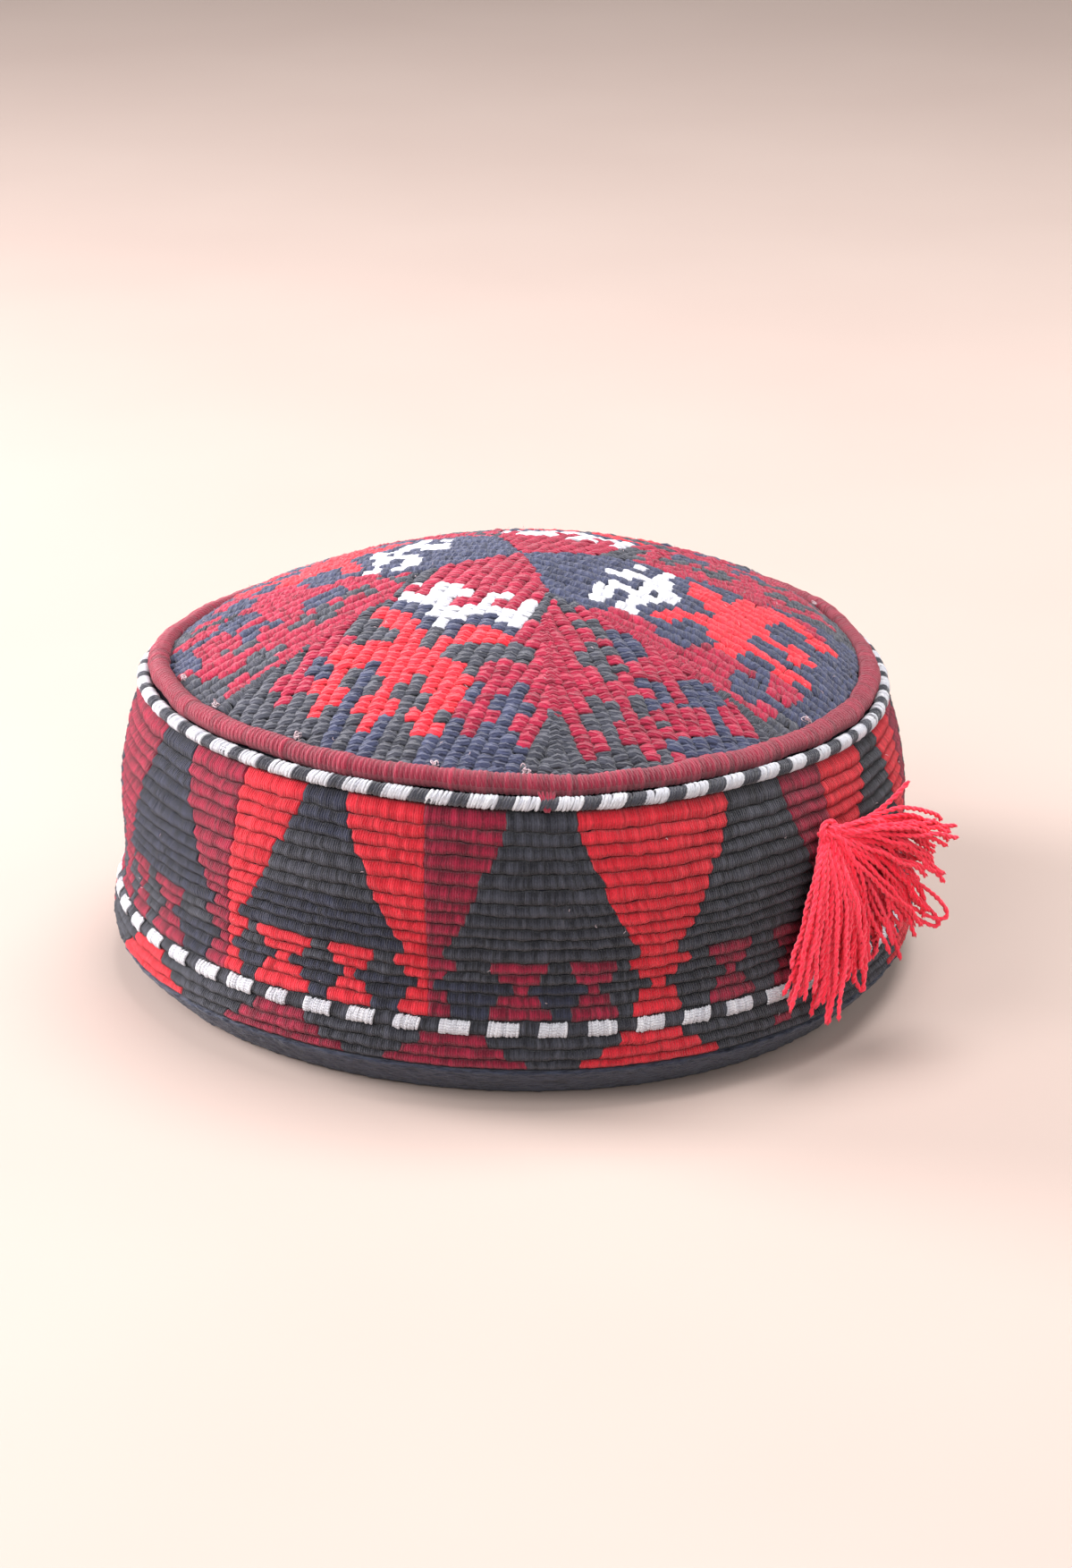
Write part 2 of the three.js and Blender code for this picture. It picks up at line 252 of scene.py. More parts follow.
def strands(paths, up, half_width, half_height, tone, sides=4, rough=0.0):
    """Closed strands along paths (strand, station, axis), drawn to a point at both ends."""
    count, stations, _ = paths.shape
    tangent = unit(np.gradient(paths, axis=1))
    side = unit(np.cross(tangent, np.broadcast_to(up, paths.shape)))
    lift = np.cross(side, tangent)
    around = np.arange(sides) / sides * 2 * math.pi
    angle = around - math.pi / 2
    width = np.broadcast_to(half_width, (count, stations))[..., None, None]
    height = np.broadcast_to(half_height, (count, stations))[..., None, None]
    rings = paths[:, :, None] + width * np.cos(angle)[:, None] * side[:, :, None]
    rings = rings + height * np.sin(angle)[:, None] * lift[:, :, None]
    if rough:
        rings = rings + jitter(rough, *rings.shape)
    inner = rings[:, 1:-1].reshape(count, -1, 3)
    points = np.concatenate([paths[:, :1], inner, paths[:, -1:]], 1)

    def at_points(values):
        values = np.broadcast_to(values, (count, stations))
        middle = np.repeat(values[:, 1:-1], sides, 1)
        return np.concatenate([values[:, :1], middle, values[:, -1:]], 1)

    turns = np.concatenate([[0], np.tile(around, stations - 2), [0]])
    tones = at_points(tone if np.ndim(tone) == 2 else np.reshape(tone, (-1, 1)))
    thread = vectors(at_points(length_along(paths)), turns, tones)
    fans, walls = tube_faces(stations - 2, sides, 1, (0, points.shape[1] - 1))
    base = np.arange(count)[:, None, None] * points.shape[1]
    faces = [(fans + base).reshape(-1, 3), (walls + base).reshape(-1, 4)]
    return points.reshape(-1, 3), faces, thread.reshape(-1, 3)


def tube(rings, thread):
    """A closed tube through rings (ring, side, axis), with a fan over each end."""
    count, sides, _ = rings.shape
    points, threads = (np.concatenate([rows.reshape(-1, 3), [rows[0].mean(0), rows[-1].mean(0)]])
                       for rows in (rings, thread))
    return points, tube_faces(count, sides, 0, (count * sides, count * sides + 1)), threads


def ripple(*waves):
    """A wavering value round the cap: waves given as their length in millimetres and height."""
    lengths, heights = zip(*waves)
    turns = [round(2 * math.pi * SEAM_RADIUS / length) for length in lengths]
    phases = chance.uniform(0, 2 * math.pi, len(waves))

    def at(azimuth):
        angle = np.radians(azimuth)
        return sum(h * np.sin(turn * angle + phase) for h, turn, phase in zip(heights, turns, phases))

    return at


def closed_grid(rows, columns):
    """Quads of a surface that closes on itself both ways."""
    i, j = np.meshgrid(np.arange(rows), np.arange(columns), indexing="ij")
    right, down = (j + 1) % columns, (i + 1) % rows
    corners = [i * columns + j, i * columns + right, down * columns + right, down * columns + j]
    return np.stack(corners, -1).reshape(-1, 4)


def revolved(profile, columns):
    """A closed profile of radius and height turned about the cap's axis."""
    profile = np.array(profile, float)
    azimuth = np.arange(columns) / columns * 360
    points = round_point(profile[:, :1], azimuth[None], profile[:, 1:])
    run = length_along(profile[None])[0][:, None]
    thread = round_point(SEAM_RADIUS, azimuth[None], run)
    return points.reshape(-1, 3), [closed_grid(len(profile), columns)], thread.reshape(-1, 3)


# Materials

class Wire:
    """An output of a material's node. Arithmetic on it adds Math nodes."""

    def __init__(self, shader, socket):
        self.shader, self.socket = shader, socket

    def __add__(self, other):
        return self.shader.math("ADD", self, other)

    def __sub__(self, other):
        return self.shader.math("SUBTRACT", self, other)

    def __rsub__(self, other):
        return self.shader.math("SUBTRACT", other, self)

    def __mul__(self, other):
        return self.shader.math("MULTIPLY", self, other)

    __radd__, __rmul__ = __add__, __mul__


class Shader:
    """A material whose nodes are added one by one."""

    def __init__(self, name, settings):
        self.material = bpy.data.materials.new(name)
        self.material.use_nodes = True
        self.tree = self.material.node_tree
        self.surface = self.tree.nodes["Principled BSDF"]
        for socket, value in settings.items():
            self.surface.inputs[socket].default_value = value

    def node(self, kind, settings=None, sockets=None, output=0):
        made = self.tree.nodes.new(kind)
        for name, value in (settings or {}).items():
            setattr(made, name, value)
        for name, value in (sockets or {}).items():
            self.feed(made.inputs[name], value)
        return Wire(self, made.outputs[output])

    def feed(self, socket, value):
        if isinstance(value, Wire):
            self.tree.links.new(value.socket, socket)
        else:
            socket.default_value = value

    def math(self, operation, *values):
        return self.node("ShaderNodeMath", {"operation": operation}, dict(enumerate(values)))

    def finish(self, **sockets):
        for name, value in sockets.items():
            self.feed(self.surface.inputs[name.replace("_", " ").title()], value)
        return self.material

    def thread(self):
        """Length along the thread, angle or distance across it, and its tone with any painted shade, as a
        vector.
        """
        return self.node("ShaderNodeAttribute", {"attribute_name": "thread"}, output="Vector")

    def parts(self, vector):
        """The three values of a vector."""
        split = self.node("ShaderNodeSeparateXYZ", {}, {0: vector}).socket.node
        return [Wire(self, output) for output in split.outputs]

    def noise(self, vector, scale, detail=2.0, roughness=0.5):
        sockets = {"Vector": vector, "Scale": scale, "Detail": detail, "Roughness": roughness}
        return self.node("ShaderNodeTexNoise", {}, sockets)

    def blend(self, share, low, high):
        """Between two colours by a share."""
        settings = {"data_type": "RGBA", "clamp_factor": True}
        sockets = {0: share, 6: low, 7: high}
        return self.node("ShaderNodeMix", settings, sockets, output=2)

    def bump(self, height, distance):
        return self.node("ShaderNodeBump", {}, {"Height": height, "Distance": distance / 1000})

    def fibres(self, thread, stretch):
        """Fine fibres, their grain stretched along the thread, across it and between stitches."""
        grain = self.node("ShaderNodeVectorMath", {"operation": "MULTIPLY"}, {0: thread, 1: stretch})
        return self.noise(grain, 1.0, 4, 0.65)

    def finish_toned(self, tones, share, height, depth):
        """The material, between two screen colours by a share, with its relief in millimetres."""
        dark, light = (colour(*screen) for screen in tones)
        return self.finish(base_color=self.blend(share, dark, light), normal=self.bump(height, depth))


def colour(red, green, blue):
    """A colour given in screen values from 0 to 255."""
    shares = [value / 255 for value in (red, green, blue)]
    linear = [s / 12.92 if s < 0.04 else ((s + 0.055) / 1.055) ** 2.4 for s in shares]
    return (*linear, 1)


# Yarn colours in screen values, between which the fibres vary: the dark one also gives painted shade
# in the creases, and the light one painted light where the fibres catch it.
COLOURS = {
    "black": ((26, 28, 36), (82, 84, 96)),
    "navy": ((25, 28, 44), (74, 80, 110)),
    "maroon": ((98, 12, 36), (190, 38, 74)),
    "red": ((184, 16, 36), (255, 58, 74)),
    "white": ((168, 170, 184), (246, 247, 252)),
}
# The band's navy is a darker copy of the crown's navy, as painted shade: the band takes less light.
SHADED_BAND_NAVY = ((21, 23, 34), (62, 66, 88))
SLOTS = {**{name: f"{name}_yarn" for name in COLOURS}, "navy": "black_yarn"}
LETTERS = {"K": "black", "N": "navy", "M": "maroon", "R": "red", "W": "white"}


# Matt wool: it takes a soft sheen at its edges, and hardly any gloss.
WOOL = {"Roughness": 0.95, "Specular IOR Level": 0.12, "Sheen Roughness": 0.45}


def haze(tone):
    """The tint of the fibres that stand out of a yarn, paler than its light tone."""
    return (*(0.55 + 0.45 * share for share in tone[:3]), 1)


def yarn(name, tones, plies, twist, stretch, depth=0.35, sheen=0.5):
    """Soft spun yarn: plies that wind round the thread, with painted shade in the grooves between them,
    fine fibres, and each stitch's own tone, into which some pieces put painted shade at the creases.

    plies are the ridges in a full turn, twist is how fast they wind along the thread, and stretch
    gives the fibres' grain along the thread, across it and from stitch to stitch.
    """
    tint = haze(colour(*tones[1]))
    shader = Shader(name, {**WOOL, "Sheen Weight": sheen, "Sheen Tint": tint})
    thread = shader.thread()
    along, across, tone = shader.parts(thread)
    fibres = shader.fibres(thread, stretch)
    ridges = shader.math("SINE", across * plies + along * twist)
    # The ridges paint shade into the grooves between the plies, and on a row between its threads.
    share = tone + fibres * 1.5 + ridges * 0.09 - 0.75
    return shader.finish_toned(tones, share, ridges * 0.25 + fibres * 1.4, depth)


def yarns(kind, colours, **spun):
    """Yarns of one kind in several colours."""
    return {name: yarn(f"{name}_{kind}_yarn", tones, **spun) for name, tones in colours.items()}


def felt(name, tones, stretch, depth):
    """Felted yarn on a turned piece, whose fibres run round the cap."""
    shader = Shader(name, {**WOOL, "Sheen Weight": 0.2})
    fibres = shader.fibres(shader.thread(), stretch)
    return shader.finish_toned(tones, fibres * 2.4 - 0.7, fibres, depth)


def cotton(name, tones, count, depth):
    """Plain woven cloth below the stitches, count being its threads' turns in a millimetre."""
    shader = Shader(name, WOOL)
    x, y, run = (shader.math("SINE", part * count) for part in shader.parts(shader.thread()))
    weave = x * y * run
    return shader.finish_toned(tones, weave * 0.4 + 0.5, weave, depth)


STITCH_YARNS = yarns("stitch", COLOURS, plies=7, twist=0.5, stretch=(0.9, 3.5, 40), sheen=0.45)
ROW_YARNS = yarns("row", {**COLOURS, "navy": SHADED_BAND_NAVY}, plies=0, twist=2 * math.pi / THREAD_PITCH,
                  stretch=(4.2, 0.8, 9), depth=0.5, sheen=0.33)
CORD_YARNS = yarns("wound", {name: COLOURS[name] for name in ("black", "white", "maroon")},
                   plies=2, twist=2.5, stretch=(1.6, 2.5, 30), sheen=0.6)
TASSEL_YARN = yarn("tassel_yarn", ((250, 30, 58), (255, 86, 108)), plies=3, twist=1.2,
                   stretch=(1.5, 1.5, 20), depth=0.12, sheen=0.35)
LINT_YARN = yarn("pale_lint", ((214, 170, 184), (250, 232, 236)), plies=2, twist=1, stretch=(1, 1, 1))
HEM_YARN = felt("hem_yarn", ((24, 27, 38), (74, 80, 100)), stretch=(0.35, 0.35, 1.3), depth=1.2)
GROUND = cotton("dark_cotton", ((16, 17, 22), (34, 36, 46)), count=7, depth=0.1)


# Crown charts. A line is one rib, and its number tells its place from the middle of its field. A
# line's runs give the yarn and how far from the cap's middle it reaches, in millimetres. The last
# one goes on to the edge.

def chart(first, lines):
    """Ribs of a chart by their number, from the first one's."""
    return dict(enumerate(lines.split("\n")[1:-1], first))


FRONT_CHART = chart(-12, """
K
K
K62 M67 K
M72 K
M55 N62 M68 K
K48 M52 R58 N62.5 R68.5 K
K31 M32 K36 R40 K51.5 R75.5 K
K23.5 W25.5 M27 W32 N36.5 R44 K50 R60.5 K66 R72 K
M28.5 W31.5 N38 R45.5 K50 R57 N
M22.5 W33.5 N40 R62.5 K69 R74 K
M22.5 W38.5 N44.5 R79 N
M24.5 W28.5 M34 W42 K51 R63 K69.5 R74 N
M32.5 W39 N46 R60 K
M24 W36 N41 R48 K52 R64.5 K69.5 R74 K
M24.5 W28 M31.5 W34 N38.5 R46 K53 R77.5 K
M31.5 W36 N40 R45 K57 R69.5 K73.5 R76.5 N
M25.5 W29.5 M31 W37.5 N41 R43.5 K50.5 M58 N64.5 M69.5 N
K33 M42 K49 M75 N
K33 M43 K48.5 M60 N65 M69.5 N
M54 N
M59.5 N64.5 M69 N
M72 N
K
K
K
""")

RIGHT_CHART = chart(-11, """
K
K
M66 K
M77 K
M66 N71.5 M77.5 K
N27 M63.5 N
N30 M42.5 N51 M64.5 N72 M77.5 N
N25 W28.5 N32 W37 N54 M69 N72 M79 N
N24 W28 N33 W36.5 N40 R45 N57 R63 N71 M80 N
N23.5 W28.5 N32 W38 N41 R47 N53.5 R63 N70 R76.5 N
N25.5 W39.5 N43.5 R79.5 N
N33 W35 N36.5 W41.5 N47.5 R62 N
N21.5 W28.5 N32 W43.5 N51 R62.5 N70 R74 N
N24 W38 N47 R78 N
N26 N32 W37 N41 R64 N70 R74 N
N26 W28.5 N32 W36 N40 R61 N
N32 W35.5 N40 R47 N51 R62 N
M37 N51.5 R63 N69.5 R76 N
M40 N52 R77 N
M57 R68 M72 N
M56 N62 M70 N
N
N
N
""")

WEDGE_CHART = chart(-7, """
K
K
K
M81 K
M68 K74 M79 K
M64 K
M49 K55 M67 K73 M79 K
K33 M38 K41 M46 K60 M83.5 K
M31 K33 M38 K46 M49 K52 M54.5 K57 M66 K73 M82 K
K36 M43 N54 M60 N63 M66 N70 M73 K76 M80 N82.5 M87
M43 N54 M62 N69.5 M79 N
M69 N70 M80 N
M61 N70 M79 N
M61 N
M60 N70 M79 N
M80 N
K
""")

# Wedges between the main fields: the azimuth of their axis, and where their seams meet the edge. A
# seam leaves the wedge's point for the shoulder where its column of stitches starts, and both are
# placed by their radius and their turn from the axis.
WEDGES = [
    {"axis": 22, "left": 5.8, "right": 45},
    {"axis": 112, "left": 95, "right": 131},
    {"axis": 202, "left": 186, "right": 222},
    {"axis": 292, "left": 268, "right": 303},
]
WEDGE_POINT = {"radius": 26.5, "turn": -6}
SHOULDERS = {
    "left": {"radius": 34.9, "turn": -13.2},
    "right": {"radius": 36.5, "turn": 8.6},
}

# The pattern's middle lies towards the back, and its edge is even.
DRIFT = np.array([0.3, 3.3])

# Fields of ribs between the wedges, and how far their ribs stand to the right of their axis. The
# two behind are the seen ones mirrored.
MAINS = [{"axis": axis, "chart": ribs, "mirrored": axis > 90, "shift": shift}
         for axis, ribs, shift in ((-23, FRONT_CHART, -0.5), (67, RIGHT_CHART, 0),
                                   (157, FRONT_CHART, 0), (247, RIGHT_CHART, 0))]


def seam_corners(wedge, side):
    """A seam's corners in plan: the wedge's point, its shoulder and its end on the crown's edge."""
    corners = [round_point(corner["radius"], wedge["axis"] + corner["turn"], 0)[:2]
               for corner in (WEDGE_POINT, SHOULDERS[side])]
    return np.stack([*corners, round_point(CROWN_RADIUS, wedge[side], 0)[:2]])


def seam_azimuth(wedge, side, radius):
    """A seam's azimuth at a radius: straight out to the wedge's point, then along its corners."""
    corners = seam_corners(wedge, side)
    place = np.linspace(0, 2, 41)
    x, y = (np.interp(place, (0, 1, 2), corners[:, axis]) for axis in (0, 1))
    turn = off(np.degrees(np.arctan2(x, -y)), wedge["axis"])
    return wedge["axis"] + np.interp(radius, np.hypot(x, y), turn)


def crown_fields():
    """Each field's axis and chart, and the wedge seams on its two sides."""
    fields = []
    for number, main in enumerate(MAINS):
        before, after = WEDGES[number - 1], WEDGES[number]
        sides = ((before, "right"), (after, "left"))
        fields.append({**main, "sides": sides, "from": 0, "lean": -0.75})
    for wedge in WEDGES:
        fields.append({"axis": wedge["axis"], "chart": WEDGE_CHART, "mirrored": wedge["axis"] > 180,
                       "shift": -1.2, "sides": ((wedge, "left"), (wedge, "right")),
                       "from": WEDGE_POINT["radius"], "lean": 0.7})
    return fields


def chart_yarn(runs, reach):
    """Yarn letters of a line of runs at places along it."""
    parts = runs.split()
    limits = [float(part[1:]) for part in parts[:-1]]
    return np.array([part[0] for part in parts])[np.searchsorted(limits, reach)]


def over_crown(across, along, axis, lift):
    """Points over the crown at places across and along a field, and its normal there."""
    angle = math.radians(axis)
    x = along * math.sin(angle) + across * math.cos(angle)
    y = across * math.sin(angle) - along * math.cos(angle)
    return above_plan(np.stack([x, y], -1), lift)


def above_plan(plan, lift):
    """Points at a height over the crown's ridges, where the drifted pattern puts a plan point."""
    radius = np.hypot(plan[..., 0], plan[..., 1])
    plan = plan + DRIFT * (1 - (radius / CROWN_RADIUS) ** 2)[..., None]
    radius = np.hypot(plan[..., 0], plan[..., 1])
    steepening = (radius / CROWN_RADIUS) ** (CROWN_ROUNDNESS - 1)
    slope = -CROWN_RISE * CROWN_ROUNDNESS * steepening / CROWN_RADIUS
    outward = plan / np.maximum(radius, 1e-6)[..., None]
    normal = unit(np.concatenate([-slope[..., None] * outward, np.ones_like(slope)[..., None]], -1))
    points = np.concatenate([plan, crown_height(radius)[..., None]], -1)
    points = points + normal * np.asarray(lift)[..., None]
    return points, normal


def field_part(field, across, along):
    """Where the part of each stitch in its field ends, left and right, and whether there is one."""
    samples = np.linspace(-0.5, 0.5, 15)
    places = across[:, None] + samples * RIB_PITCH
    radius = np.hypot(places, along[:, None])
    turn = np.degrees(np.arctan2(places, along[:, None]))
    left, right = (off(seam_azimuth(wedge, side, radius), field["axis"])
                   for wedge, side in field["sides"])
    inside = (turn > left) & (turn < right)
    inside &= (radius >= field["from"] * 0.98) & (radius < CROWN_RADIUS + 0.5)
    first = np.argmax(inside, 1)
    last = len(samples) - 1 - np.argmax(inside[:, ::-1], 1)
    return samples[first] * RIB_PITCH, samples[last] * RIB_PITCH, inside.any(1)


# A stitch from crease to crease: its stations from the middle, and how full it is there.
STATIONS = np.array([-1, -0.88, -0.5, 0, 0.5, 0.88, 1])
FULLNESS = np.array([0, 0.8, 0.98, 1, 0.98, 0.8, 0])


def pads(bundle, points, normal, half_width, half_height, tone):
    """Plump stitches from crease to crease, with painted shade where they sink in."""
    off_middle = np.linspace(-1, 1, len(STATIONS))
    # Painted shade: the tone darkens towards the stitch's ends, down in the creases.
    shade = np.clip(tone[:, None] - 0.32 * np.abs(off_middle) ** 3, 0, 1)
    width, height = half_width * FULLNESS, half_height * FULLNESS ** 0.5
    bundle.add(*strands(points, normal, width, height, shade, sides=6, rough=0.06))


# Stitches of the ribs: how far apart they lie along a rib, their half sizes, how far they lap over
# the ribs beside them, the least width that a seam leaves of one, and how deep they lie.
STITCH = {"pitch": 1.75, "half_width": 1.5, "half_height": 0.5, "lap": 0.6, "least": 0.9, "sunk": 0.6}


def crown_stitches(bundles):
    """Ribs of plump stitches that lean across the rib and arch from crease to crease."""
    for field in crown_fields():
        wander = ripple((60, 0.25), (23, 0.2), (11, 0.15))
        way = -1 if field["mirrored"] else 1
        for rib in sorted(way * number for number in field["chart"]):
            along = np.arange(1.0, CROWN_RADIUS + 1, STITCH["pitch"]) + chance.uniform(0, 0.9)
            along = along + jitter(0.2, len(along))
            across = rib * RIB_PITCH + field["shift"] + wander(along * 0.7 + rib * 31)
            left, right, inside = field_part(field, across, along)
            inside &= right - left > STITCH["least"]
            along, across, left, right = (values[inside] for values in (along, across, left, right))
            if not len(along):
                continue
            lean = field["lean"] * chance.normal(1, 0.4, len(along))
            plump = chance.normal(1, 0.12, len(along))
            tone = chance.normal(0.5, 0.1, len(along))
            middle, half = across + (left + right) / 2, (right - left) / 2 + STITCH["lap"]
            over = middle[:, None] + half[:, None] * STATIONS
            reach = along[:, None] + lean[:, None] * STATIONS + jitter(0.16, *over.shape)
            sink = STITCH["sunk"] + jitter(0.1, len(along))
            lift = -sink[:, None] - RIB_DEPTH * np.abs(STATIONS) ** 2.2 * plump[:, None]
            points, normal = over_crown(over, reach, field["axis"], lift)
            width = STITCH["half_width"] * chance.normal(1, 0.1, len(along))[:, None]
            letters = chart_yarn(field["chart"][way * rib], along)
            # Sorted, so that each run draws the same random values.
            for letter in np.unique(letters):
                own = letters == letter
                bundle = bundles[LETTERS[letter]]
                pads(bundle, points[own], normal[own], width[own], STITCH["half_height"], tone[own])


# Widths of a seam's column of stitches, by the share of the seam's length.
SPINE = {0: 3, 0.25: 5, 0.62: 5, 0.7: 4.6, 1: 6}
SPINE_TURN = 0.69
SPINE_STITCH = {"pitch": 1.3, "half_width": 0.85, "half_height": 0.55}


def seam_spines(bundles):
    """Raised columns over the wedge seams, their stitches lying across the seam in arcs."""
    for wedge in WEDGES:
        for side in ("left", "right"):
            _, start, end = seam_corners(wedge, side)
            length = math.hypot(*(end - start))
            heading = (end - start) / length
            across = np.array([-heading[1], heading[0]])
            along = np.arange(0.6, length, SPINE_STITCH["pitch"])
            share = along / length
            width = np.interp(share, list(SPINE), list(SPINE.values()))
            half = width / 2 * chance.normal(1, 0.06, len(along))
            sag = 0.9 * STATIONS ** 2 + jitter(0.2, len(along), 1) * STATIONS
            plan = start + heading * (along[:, None] + sag)[..., None]
            plan = plan + across * (half[:, None] * STATIONS)[..., None]
            lift = -0.4 + jitter(0.1, len(along), 1) - 1.6 * np.abs(STATIONS) ** 2
            points, normal = above_plan(plan, lift)
            tone = chance.normal(0.5, 0.1, len(along))
            for name, own in (("maroon", share < SPINE_TURN), ("black", share >= SPINE_TURN)):
                pads(bundles[name], points[own], normal[own], SPINE_STITCH["half_width"],
                     SPINE_STITCH["half_height"], tone[own])


# Band pattern. Widths are millimetres, azimuths degrees, and rows count from the top.
TRIANGLE = dict(enumerate(
    [36, 35.6, 33, 31, 26, 24.5, 22, 18.7, 16, 12.9, 8.5, 14.8, 9, 3.7, 9.1, 11.6], 1))
HOURGLASS = {12: 11.3, 13: 8, 14: 2.6, 15: 8, 16: 11.5}
TRAPEZOID = {18: 15.4, 19: 25, 20: 34.8}
# One short dash stands alone in a gap near the foot.
LONE_DASH = {"row": 19, "at": 37.2, "width": 5, "yarn": "M"}
DASH_ROW = 17
DASHES = {"count": 55, "first": 4.1, "white": 0.57}
SLANTS = {"triangle": (0.5, 0.2), "leg": (0.1, 0.1)}
LEG_FROM = 11


def column(at, yarns, gap, foot=None, scale=1, inner=0.4):
    """A column of triangles: where it stands above and at its foot, its width against the table,
    the yarns of its two halves and how far their border lies right of its middle, and the ground
    yarns of the gap after it with the rows that they reach."""
    return {"at": at, "yarns": yarns, "gap": gap, "foot": at if foot is None else foot,
            "scale": scale, "inner": inner}


# Columns from left to right, and how far left of its foot a column's ground starts.
COLUMNS = [
    column(-76, "MM", "N11 K", foot=-76.5, scale=1.05),
    column(-44, "MR", "N3 K7 N11 K13 N16 K", foot=-45.6, scale=1.05),
    column(-14, "RM", "K13 N16 K", foot=-13, scale=1.07),
    column(19, "RR", "K", foot=18.5, scale=1.03),
    column(50.6, "MR", "K", foot=50, scale=0.97, inner=-1.6),
    column(80, "RM", "K12 N"),
    column(109.3, "RR", "N8 K"),
    column(138.6, "MR", "N4 K"),
    column(167.9, "MM", "K9 N14 K"),
    column(197.2, "RM", "N11 K"),
    column(226.4, "RR", "K"),
    column(255.7, "MR", "N9 K"),
]
COLUMN_REACH = 14.01

# Hourglasses stand in pairs in the gaps, most of them as wide against their table as this.
GLASS_SCALES = (1.1, 1)
HOURGLASSES = [
    {"yarn": "M", "at": (-68.5, -59), "scales": (0.9, 1.3)},
    {"yarn": "R", "at": (-34.8, -24), "scales": (1.4, 1)},
    {"yarn": "M", "at": (-0.3, 9.7), "scales": (1.23, 0.96)},
    {"yarn": "M", "at": (29.6, 40), "scales": (1.05, 1)},
    {"yarn": "R", "at": (60.8, 70)},
    {"yarn": "M", "at": (90.5, 99)},
    {"yarn": "R", "at": (119.8, 128.5)},
    {"yarn": "M", "at": (149.1, 157.5)},
    {"yarn": "R", "at": (178.4, 187)},
    {"yarn": "M", "at": (207.7, 216)},
    {"yarn": "R", "at": (237, 245.5)},
    {"yarn": "M", "at": (265.5, 273.5), "scales": (1, 1)},
]
BOTTOMS = [-63.1, -34.5, -9.2, 17.2, 74.5, 102, 129.5, 157, 184.5, 212, 240, 268.5]
BOTTOM_YARNS = "RMMRRMRMRMRM"

# Heights of the rows against each other, from the top, and where their edges lie.
ROW_HEIGHTS = [1.4, 1, 1, 1.05, 1.12, 1.18, 0.93, 0.95, 0.88, 0.82, 1.05, 0.95, 0.82, 0.82, 0.95, 1,
               1.08, 0.96, 0.92, 0.82]
BAND_ROWS = len(ROW_HEIGHTS)
ROW_SHARES = np.concatenate([[0], np.cumsum(ROW_HEIGHTS)]) / sum(ROW_HEIGHTS)
ROW_EDGES = BAND_TOP - (BAND_TOP - BAND_FOOT) * ROW_SHARES

# Across a row, from its upper crease to its lower one, then the way back behind it.
ROW_STATIONS = np.array([-1, -0.78, 0, 0.78, 1])
BEHIND = [3, 1]
AROUND = [0, 1, 2, 3, 4, *BEHIND]
BEHIND_DEPTH = 0.7


def half_widths(table, row, slant):
    """Half the width of a figure across one row, drawn towards its width in the next rows."""
    rows = sorted(table)
    widths = [table[number] for number in rows]
    return np.interp(row + slant * ROW_STATIONS, rows, widths) / 2


def figures(row, radius):
    """The yarn figures on a row: their letter, and the azimuths of their two ends."""
    found = []
    to_angle = math.degrees(1 / radius)

    def add(letters, middle, table, scale, inner=0):
        slants = SLANTS["triangle" if row < LEG_FROM else "leg"]
        left = middle - half_widths(table, row, slants[0]) * scale * to_angle
        right = middle + half_widths(table, row, slants[1]) * scale * to_angle
        left, right = left + jitter(0.14), right + jitter(0.14)
        left, right = left + jitter(0.1, 5), right + jitter(0.1, 5)
        if len(set(letters)) == 1:
            found.append((letters[0], left, right))
        else:
            split = np.full(len(left), middle + inner)
            found.extend([(letters[0], left, split), (letters[1], split, right)])

    if row in TRIANGLE:
        for stepped in COLUMNS:
            drift = (stepped["foot"] - stepped["at"]) * (row - 1) / (len(TRIANGLE) - 1)
            inner = stepped["inner"] + jitter(0.1)
            add(stepped["yarns"], stepped["at"] + drift, TRIANGLE, stepped["scale"], inner)
    if row in HOURGLASS:
        for pair in HOURGLASSES:
            for middle, scale in zip(pair["at"], pair.get("scales", GLASS_SCALES)):
                add(pair["yarn"], middle, HOURGLASS, scale)
    if row in TRAPEZOID:
        for middle, letter in zip(BOTTOMS, BOTTOM_YARNS):
            add(letter, middle, TRAPEZOID, 1)
    if row == LONE_DASH["row"]:
        add(LONE_DASH["yarn"], LONE_DASH["at"], {row: LONE_DASH["width"]}, 1)
    return sorted(found, key=lambda figure: figure[1].mean())


def band_runs(row, radius):
    """All runs of one yarn on a row, the ground between the figures included."""
    found = figures(row, radius)
    if not found:
        quarter = np.full(len(ROW_STATIONS), 90.0)
        return [("K", quarter * number, quarter * (number + 1)) for number in range(-1, 3)]
    runs = []
    for number, (letter, left, right) in enumerate(found):
        following = found[(number + 1) % len(found)][1]
        if number == len(found) - 1:
            following = following + 360
        runs.append((letter, left, right))
        if (following - right).mean() > 0.3:
            reached = right.mean() + COLUMN_REACH
            before = [stepped for stepped in COLUMNS if stepped["foot"] < reached]
            ground = (before or COLUMNS)[-1]["gap"]
            runs.append((chart_yarn(ground, row), right, following))
    return runs


